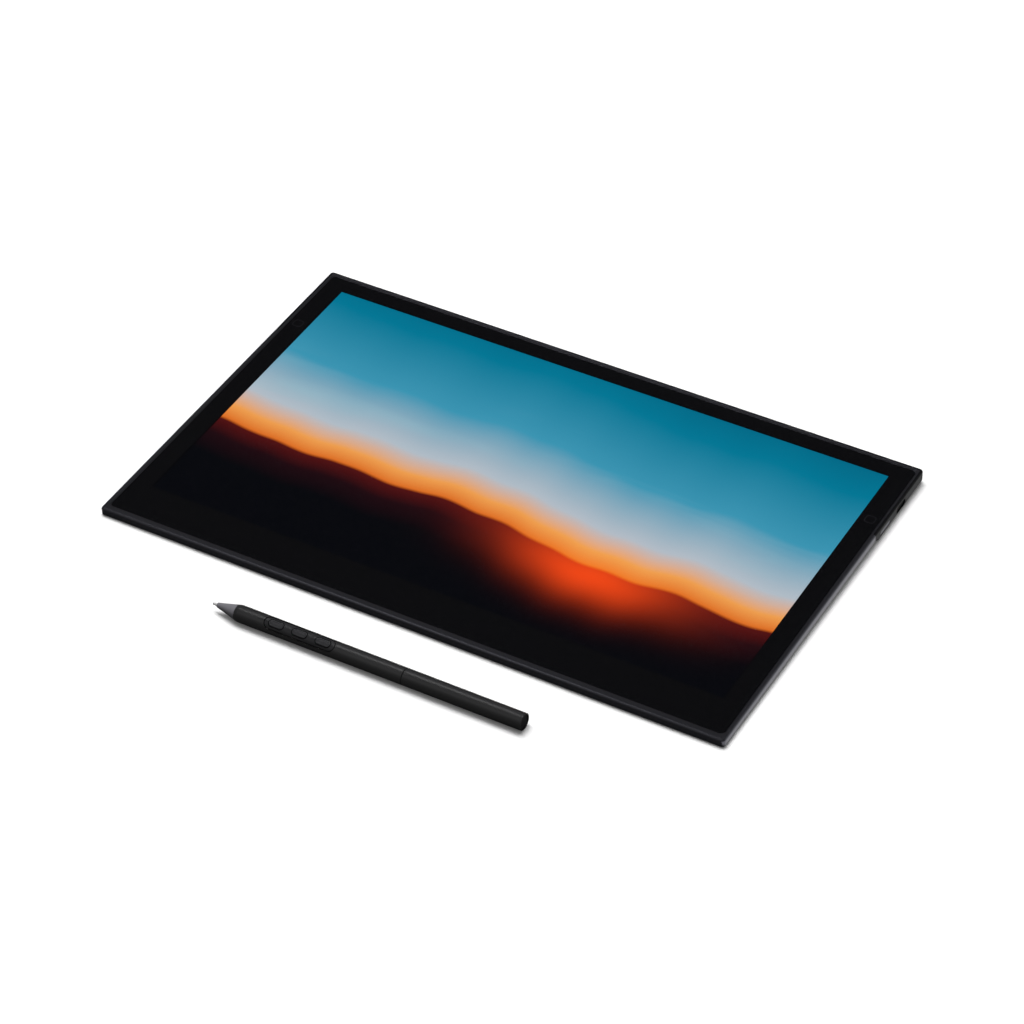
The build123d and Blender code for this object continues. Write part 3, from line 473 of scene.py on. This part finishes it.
finishes["weight_steel"] = grainedFinish(
    "weightSteel", tone(128, 128, 132), tone(172, 172, 176), rough=(0.24, 0.4), scale=2000, stretch=(0.3, 5, 5),
    bump=0.2, Metallic=1.0)
print("scene:", len(finishes), "finishes made")


# meshes

meshing = {"merge": 0.000001, "mergeNode": 0.000002, "evenWeight": 100, "capAngle": 32, "turnedAngle": 17}


def meshObject(name, build, material=None):
    mesh = bpy.data.meshes.new(name)
    build.to_mesh(mesh)
    build.free()
    thing = bpy.data.objects.new(name, mesh)
    bpy.context.collection.objects.link(thing)
    if material:
        mesh.materials.append(material)
    return thing


def smoothByAngle(mesh, angle):
    mesh.polygons.foreach_set("use_smooth", [True] * len(mesh.polygons))
    mesh.set_sharp_from_angle(angle=math.radians(angle))


def keepResult(thing):  # the modified shape becomes the object's own mesh
    done = bpy.data.meshes.new_from_object(thing.evaluated_get(bpy.context.evaluated_depsgraph_get()))
    thing.modifiers.clear()
    thing.data = done


def ringStack(name, rings, angle, capped=True):
    # closed loops of points joined one to the next, with a cap at either end
    build = bmesh.new()
    loops = [[build.verts.new(point) for point in ring] for ring in rings]
    count = len(loops[0])
    for lower, upper in zip(loops, loops[1:]):
        for i in range(count):
            j = (i + 1) % count
            build.faces.new((lower[i], lower[j], upper[j], upper[i]))
    if capped:
        build.faces.new(loops[0][::-1])
        build.faces.new(loops[-1])
    bmesh.ops.remove_doubles(build, verts=build.verts, dist=meshing["merge"])
    bmesh.ops.recalc_face_normals(build, faces=build.faces)
    thing = meshObject(name, build)
    smoothByAngle(thing.data, angle)
    return thing


def latheOnPen(name, profile, sides, closed=False):
    # (station, radius) points turned about the pen's axis; a closed profile has no caps
    rings = []
    for station, radius in profile:
        rings.append([
            onPen(station, radius * math.sin(2 * math.pi * i / sides), radius * math.cos(2 * math.pi * i / sides))
            for i in range(sides)
        ])
    if closed:
        rings.append(rings[0])
    return ringStack(name, rings, meshing["turnedAngle"], capped=not closed)


def smoothCopy(nodeName, angle=30):
    # the same shape as the node, with joined corners, so that round faces shade smoothly
    build = bmesh.new()
    build.from_mesh(nodes[nodeName].data)
    bmesh.ops.remove_doubles(build, verts=build.verts, dist=meshing["mergeNode"])
    thing = meshObject("fine_" + nodeName, build)
    smoothByAngle(thing.data, angle)
    weighted = thing.modifiers.new("evenShading", "WEIGHTED_NORMAL")  # large flat faces stay evenly lit
    weighted.weight = meshing["evenWeight"]
    weighted.keep_sharp = True
    keepResult(thing)
    return thing


def stand(thing, nodeName, body):
    slotName = slotNames[nodeName]
    thing.data.materials.clear()
    thing.data.materials.append(finishes[slotName])
    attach(thing, body)
    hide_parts(nodeName)


slotNames = {part["node"]: part["material_slot"] for part in frame["record"]["subparts"]}
for nodeName, thing in nodes.items():
    for holder in thing.material_slots:
        holder.material = finishes[slotNames[nodeName]]
print("scene: every node has its finish")

# smooth stand-ins for the round-edged housing pieces
for nodeName in ("mid_frame", "rear_cover", "port_shell_left", "port_shell_right"):
    stand(smoothCopy(nodeName), nodeName, "tablet")
stand(smoothCopy("power_key", angle=8), "power_key", "power_key")
print("scene: housing pieces smoothed")


# the clear layers over the panel, with a hair's breadth of air between one and the next

layers = {"panelTop": 5.62, "printTop": 5.90, "air": 0.01, "near": 0.02}


def airedCopy(nodeName, rule):
    thing = smoothCopy(nodeName, angle=20)
    for vertex in thing.data.vertices:
        vertex.co = onTablet(*rule(*offTablet(vertex.co)))
    stand(thing, nodeName, "tablet")


def airUnderGlass(x, y, z):
    return x, y, z + layers["air"] if z < layers["printTop"] + layers["near"] else z


def airRoundBond(x, y, z):
    air = layers["air"]
    x -= math.copysign(air, x)
    y -= math.copysign(air, y - picture["middleY"])
    return x, y, z + air if z < layers["panelTop"] + layers["near"] else z - air


airedCopy("cover_glass", airUnderGlass)
airedCopy("optical_bond", airRoundBond)
print("scene: clear layers made")


# the pen

axisRadius = 0.001  # next to nothing, for the points on the pen's axis
nibSizes = {"length": 25.0, "radius": 0.8, "shown": 2.6, "tipRadius": 0.55, "sides": 32, "steps": 6}
coneSizes = {
    "start": 2.6, "frontRadius": 1.15, "end": 12.8, "rearRadius": 3.62, "bore": 0.88, "edge": 0.06,
    "spigot": 3.2, "spigotEnd": 14.4,
}
barrelSizes = {
    "start": 12.8, "startRadius": 3.62, "startEdge": 0.05, "blendStart": 12.83, "blendEnd": 15.0, "blendSteps": 8,
    "split": 98.9, "bore": 3.3, "edge": 0.3, "sides": 96,
    "rearStart": 99.0, "end": 158.2, "tailEdge": 0.25, "tailRadius": 3.4, "tailFloor": 157.1, "wallStart": 155.7,
}


def makeNib():
    size = nibSizes
    turnOver = math.asin((size["radius"] - size["tipRadius"]) / size["shown"])
    profile = []
    for i in range(size["steps"] + 1):
        swing = (math.pi / 2 - turnOver) * i / size["steps"]
        station, radius = size["tipRadius"] * (1 - math.cos(swing)), size["tipRadius"] * math.sin(swing)
        profile.append((station, max(radius, axisRadius)))
    profile += [(size["shown"], size["radius"]), (size["length"], size["radius"])]
    return latheOnPen("round_nib", profile, size["sides"])


def makeNoseCone():
    size = coneSizes
    edge = size["edge"]
    profile = [
        (size["start"], size["bore"]), (size["start"], size["frontRadius"] - edge),
        (size["start"] + edge, size["frontRadius"]), (size["end"] - edge, size["rearRadius"] - edge / 3),
        (size["end"], size["rearRadius"] - edge), (size["end"], size["spigot"]),
        (size["spigotEnd"], size["spigot"]), (size["spigotEnd"], size["bore"]),
    ]
    return latheOnPen("turned_nose_cone", profile, barrelSizes["sides"], closed=True)


def makeRearBarrel():
    size = barrelSizes
    edge, tail = size["edge"], size["tailEdge"]
    start, end, radius = size["rearStart"], size["end"], pen["radius"]
    profile = [
        (start, size["bore"]), (start, radius - edge), (start + edge / 3, radius - edge / 3), (start + edge, radius),
        (end - tail, radius), (end - tail / 3, radius - tail / 3), (end, radius - tail), (end, size["tailRadius"]),
        (size["tailFloor"], size["tailRadius"]), (size["tailFloor"], axisRadius),
        (size["wallStart"], axisRadius), (size["wallStart"], size["bore"]),
    ]
    return latheOnPen("turned_rear_barrel", profile, size["sides"], closed=True)


stand(makeNib(), "pen_nib", "pen_nib")
stand(makeNoseCone(), "nose_cone", "pen")
stand(makeRearBarrel(), "rear_barrel", "rear_barrel")
print("scene: nib, nose cone and rear barrel turned")


capSizes = {"cornerSteps": 10, "crownSteps": 9, "middleHalf": 0.01, "edgeShare": 0.3, "leastCorner": 0.001}
islandSizes = {
    "middle": 46.4, "length": 35.8, "width": 5.6, "corner": 2.7, "inner": 3.3, "outer": 3.94, "edge": 0.2,
    "windowLength": 36.4, "windowWidth": 6.2, "windowCorner": 3.0, "windowInner": 3.2,
}
buttonSizes = {
    "pitch": 12.0, "length": 7.4, "width": 3.2, "corner": 1.5, "inner": 2.9, "outer": 4.12, "edge": 0.25,
    "dish": (0.16, 0.35), "gap": 0.32, "holeInner": 2.6,
}
cutterSizes = {"outer": 4.6, "edge": 0.02}


def outlinePoints(length, width, corner):
    # rounded outline about the origin, (along, across)
    least, steps = capSizes["leastCorner"], capSizes["cornerSteps"]
    corner = max(min(corner, length / 2 - least, width / 2 - least), least)
    points = []
    for quarter, (alongSign, acrossSign) in enumerate(((1, 1), (-1, 1), (-1, -1), (1, -1))):
        for step in range(steps + 1):
            swing = math.pi / 2 * (quarter + step / steps)
            along = alongSign * (length / 2 - corner) + corner * math.cos(swing)
            across = acrossSign * (width / 2 - corner) + corner * math.sin(swing)
            points.append((along, across))
    return points


def capOnPen(name, middle, length, width, corner, inner, outer, edge, dish=(0, 0)):
    # a piece with a rounded outline whose top and underside follow the barrel's round
    def ring(inset, radius):
        outline = outlinePoints(length - 2 * inset, width - 2 * inset, corner - inset)
        return [onPen(middle + along, across, math.sqrt(radius ** 2 - across ** 2)) for along, across in outline]

    crown, share = capSizes["crownSteps"], capSizes["edgeShare"]
    deepest = width / 2 - capSizes["middleHalf"]
    rings = [ring(deepest * (1 - i / crown), inner) for i in range(crown + 1)]
    rings += [ring(0, outer - edge), ring(edge * share, outer - edge * share), ring(edge, outer)]
    sunk, rim = dish  # a shallow hollow inside a rim
    for i in range(1, crown + 1):
        inset = edge + (deepest - edge) * i / crown
        rings.append(ring(inset, outer - sunk * min(max((inset - rim) / (rim + edge), 0), 1)))
    return ringStack(name, rings, meshing["capAngle"])


def cut(thing, cutter):
    cutting = thing.modifiers.new("cut", "BOOLEAN")
    cutting.operation = "DIFFERENCE"
    cutting.solver = "EXACT"
    cutting.object = cutter
    keepResult(thing)
    bpy.data.objects.remove(cutter)
    smoothByAngle(thing.data, meshing["turnedAngle"])


def makeIsland():
    size, button = islandSizes, buttonSizes
    island = capOnPen(
        "button_rest", size["middle"], size["length"], size["width"], size["corner"], size["inner"], size["outer"],
        size["edge"])
    grow = button["gap"]
    for index in (-1, 0, 1):
        hole = capOnPen(
            "hole", size["middle"] + index * button["pitch"], button["length"] + 2 * grow, button["width"] + 2 * grow,
            button["corner"] + grow, button["holeInner"], cutterSizes["outer"], cutterSizes["edge"])
        cut(island, hole)
    return island


def makeFrontBarrel():
    size, opening = barrelSizes, islandSizes
    edge, end, radius = size["edge"], size["split"], pen["radius"]
    profile = [(size["start"], size["bore"]), (size["start"], size["startRadius"] - size["startEdge"])]
    for i in range(size["blendSteps"] + 1):  # the cone's slope runs out into the straight barrel
        t = i / size["blendSteps"]
        station = size["blendStart"] + (size["blendEnd"] - size["blendStart"]) * t
        profile.append((station, size["startRadius"] + (radius - size["startRadius"]) * (2 * t - t * t)))
    profile += [(end - edge, radius), (end - edge / 3, radius - edge / 3), (end, radius - edge), (end, size["bore"])]
    barrel = latheOnPen("turned_front_barrel", profile, size["sides"], closed=True)
    window = capOnPen(
        "window", opening["middle"], opening["windowLength"], opening["windowWidth"], opening["windowCorner"],
        opening["windowInner"], cutterSizes["outer"], cutterSizes["edge"])
    cut(barrel, window)
    return barrel


def makeButton(place, index):
    size = buttonSizes
    return capOnPen(
        "soft_button_" + place, islandSizes["middle"] + index * size["pitch"], size["length"], size["width"],
        size["corner"], size["inner"], size["outer"], size["edge"], dish=size["dish"])


stand(makeIsland(), "button_island", "pen")
stand(makeFrontBarrel(), "front_barrel", "pen")
for index, place in enumerate(("front", "middle", "rear")):
    stand(makeButton(place, index - 1), "side_button_" + place, "side_button_" + place)
print("scene: barrel, island and buttons made")


def makeTailDisc():
    size = {"start": 157.1, "top": 157.9, "radius": 3.3, "edge": 0.15, "middleShare": 0.5}
    start, top, radius, edge = size["start"], size["top"], size["radius"], size["edge"]
    profile = [
        (start, axisRadius), (start, radius), (top - edge, radius), (top - edge / 3, radius - edge / 3),
        (top, radius - edge), (top, radius * size["middleShare"]), (top, axisRadius),
    ]
    return latheOnPen("turned_tail_disc", profile, barrelSizes["sides"])


stand(makeTailDisc(), "tail_disc", "rear_barrel")


# thread on the collar that the rear barrel screws onto, made by a rule

threadSizes = {
    "start": 99.4, "end": 104.2, "radius": 3.14, "pitch": 0.8, "ridge": 0.07, "stepsPerTurn": 40, "ridgeSides": 6,
}


def makeThread():
    size = threadSizes
    tree = bpy.data.node_groups.new("threadRidge", "GeometryNodeTree")
    face = tree.interface
    wanted = {
        "Turns": (size["end"] - size["start"]) / size["pitch"], "Radius": size["radius"] * mm,
        "Length": (size["end"] - size["start"]) * mm, "Ridge": size["ridge"] * mm,
    }
    for name in wanted:
        face.new_socket(name, in_out="INPUT", socket_type="NodeSocketFloat")
    face.new_socket("Geometry", in_out="OUTPUT", socket_type="NodeSocketGeometry")
    given = add(tree, "NodeGroupInput").outputs
    spiral = add(tree, "GeometryNodeCurveSpiral", {
        "Resolution": size["stepsPerTurn"], "Rotations": given["Turns"], "Height": given["Length"],
        "Start Radius": given["Radius"], "End Radius": given["Radius"]})
    section = add(
        tree, "GeometryNodeCurvePrimitiveCircle", {"Resolution": size["ridgeSides"], "Radius": given["Ridge"]},
        mode="RADIUS")
    swept = add(tree, "GeometryNodeCurveToMesh", {
        "Curve": spiral.outputs[0], "Profile Curve": section.outputs[0], "Fill Caps": True})
    realized = add(tree, "GeometryNodeRealizeInstances", {"Geometry": swept.outputs[0]})
    painted = add(tree, "GeometryNodeSetMaterial", {
        "Geometry": realized.outputs[0], "Material": finishes["collar_metal"]})
    add(tree, "NodeGroupOutput", {"Geometry": painted.outputs[0]})
    thread = bpy.data.objects.new("collar_thread", bpy.data.meshes.new("collar_thread"))
    bpy.context.collection.objects.link(thread)
    maker = thread.modifiers.new("thread", "NODES")
    maker.node_group = tree
    for item in face.items_tree:
        if item.in_out == "INPUT":
            maker[item.identifier] = float(wanted[item.name])
    bpy.context.view_layer.update()
    keepResult(thread)
    toPen = Matrix.Translation(onPen(size["start"], 0, 0)) @ Matrix.Rotation(math.pi / 2, 4, "Y")
    thread.data.transform(toPen)
    return thread


thread = makeThread()
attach(thread, "pen")
print("scene: collar thread made")


# floor, light and sky, in metres

stage = {
    "floorSize": 8.0, "floorShade": 0.92, "floorInBounce": 0.05,
    "whiteLift": 0.03, "whiteFrom": 0.35, "whiteTo": 0.8, "rightX": 0.1597, "rightGlowInGloss": 0.78,
    "skyLow": 0.05, "skyHigh": 0.45, "skyInGloss": 0.08, "skyShown": 1.0,
}
lamps = {  # one box lights the scene, and three give only highlights
    "keyBox": {"place": (-0.75, 0.75, 3.2), "aim": (0, 0, 0), "size": (2.1, 2.1), "power": 124.0, "forGloss": False},
    "frontBox": {"place": (-0.5, -0.9, 0.95), "aim": (0, 0, 0), "size": (0.7, 0.7), "power": 0.25, "forGloss": True},
    "topBox": {"place": (-0.53, 0.24, 1.26), "aim": (0, -0.1, 0), "size": (0.35, 0.35), "power": 0.7,
               "forGloss": True},
    "sideBox": {"place": (0.95, 0.85, 0.5), "aim": (0.1, 0, 0), "size": (0.6, 0.8), "power": 0.4, "forGloss": True},
}


def rayKinds(tree):
    return add(tree, "ShaderNodeLightPath").outputs


def seenDirectly(tree):  # 1 for the rays that show the background
    path = rayKinds(tree)
    return maths(tree, "MAXIMUM", path["Is Camera Ray"], path["Is Transmission Ray"])


def makeFloor():
    build = bmesh.new()
    half = stage["floorSize"] / 2
    build.faces.new([build.verts.new((x * half, y * half, 0)) for x, y in ((-1, -1), (1, -1), (1, 1), (-1, 1))])
    material = bpy.data.materials.new("paleFloor")
    material.use_nodes = True
    tree = material.node_tree
    tree.nodes.clear()
    shown = seenDirectly(tree)
    shade = spread(tree, shown, stage["floorInBounce"], stage["floorShade"])
    pale = add(tree, "ShaderNodeBsdfDiffuse", {"Color": shade})
    # the floor right of the tablet glows only in reflections, painted light that gives the tablet's right wall its
    # bright mirrored strip, and away from the tablet the floor shows plain white
    coords = add(tree, "ShaderNodeTexCoord").outputs["Object"]
    x = add(tree, "ShaderNodeSeparateXYZ", {"Vector": coords}).outputs[0]
    right = maths(tree, "MULTIPLY", maths(tree, "GREATER_THAN", x, stage["rightX"]), rayKinds(tree)["Is Glossy Ray"])
    away = add(tree, "ShaderNodeVectorMath", {"Vector": coords}, operation="LENGTH").outputs["Value"]
    white = add(tree, "ShaderNodeMapRange", {
        "Value": away, "From Min": stage["whiteFrom"], "From Max": stage["whiteTo"],
        "To Min": stage["whiteLift"], "To Max": 1.0})
    lift = maths(tree, "MULTIPLY", shown, white.outputs["Result"])
    lift = maths(tree, "MULTIPLY_ADD", right, stage["rightGlowInGloss"], lift)
    glow = add(tree, "ShaderNodeEmission", {"Strength": lift})
    both = add(tree, "ShaderNodeAddShader", {0: pale.outputs[0], 1: glow.outputs[0]})
    add(tree, "ShaderNodeOutputMaterial", {"Surface": both.outputs[0]})
    floor = meshObject("floor", build, material)


def makeSky():
    world = bpy.data.worlds.new("paleRoom")
    world.use_nodes = True
    tree = world.node_tree
    tree.nodes.clear()
    # light from above, a dim even room in reflections, and plain white where it shows
    direction = add(tree, "ShaderNodeTexCoord").outputs["Generated"]
    upward = add(tree, "ShaderNodeSeparateXYZ", {"Vector": direction}).outputs[2]
    level = spread(tree, upward, stage["skyLow"], stage["skyHigh"])
    inGloss, shown = rayKinds(tree)["Is Glossy Ray"], seenDirectly(tree)
    for seen, strength in ((inGloss, stage["skyInGloss"]), (shown, stage["skyShown"])):
        level = add(tree, "ShaderNodeMix", {0: seen, 2: level, 3: strength}, data_type="FLOAT").outputs[0]
    sky = add(tree, "ShaderNodeBackground", {"Color": (1, 1, 1, 1), "Strength": level})
    add(tree, "ShaderNodeOutputWorld", {"Surface": sky.outputs[0]})
    bpy.context.scene.world = world


def softBox(name, place, aim, size, power, forGloss):
    data = bpy.data.lights.new(name, "AREA")
    data.shape = "RECTANGLE"
    data.size, data.size_y = size
    data.energy = power
    lamp = bpy.data.objects.new(name, data)
    bpy.context.collection.objects.link(lamp)
    lamp.location = place
    lamp.rotation_euler = (Vector(aim) - Vector(place)).to_track_quat("-Z", "Y").to_euler()
    lamp.visible_diffuse = not forGloss
    lamp.visible_glossy = forGloss


makeFloor()
makeSky()
for name, lamp in lamps.items():
    softBox(name, **lamp)
bpy.context.scene.view_settings.view_transform = "Standard"
print("scene: floor and light set")
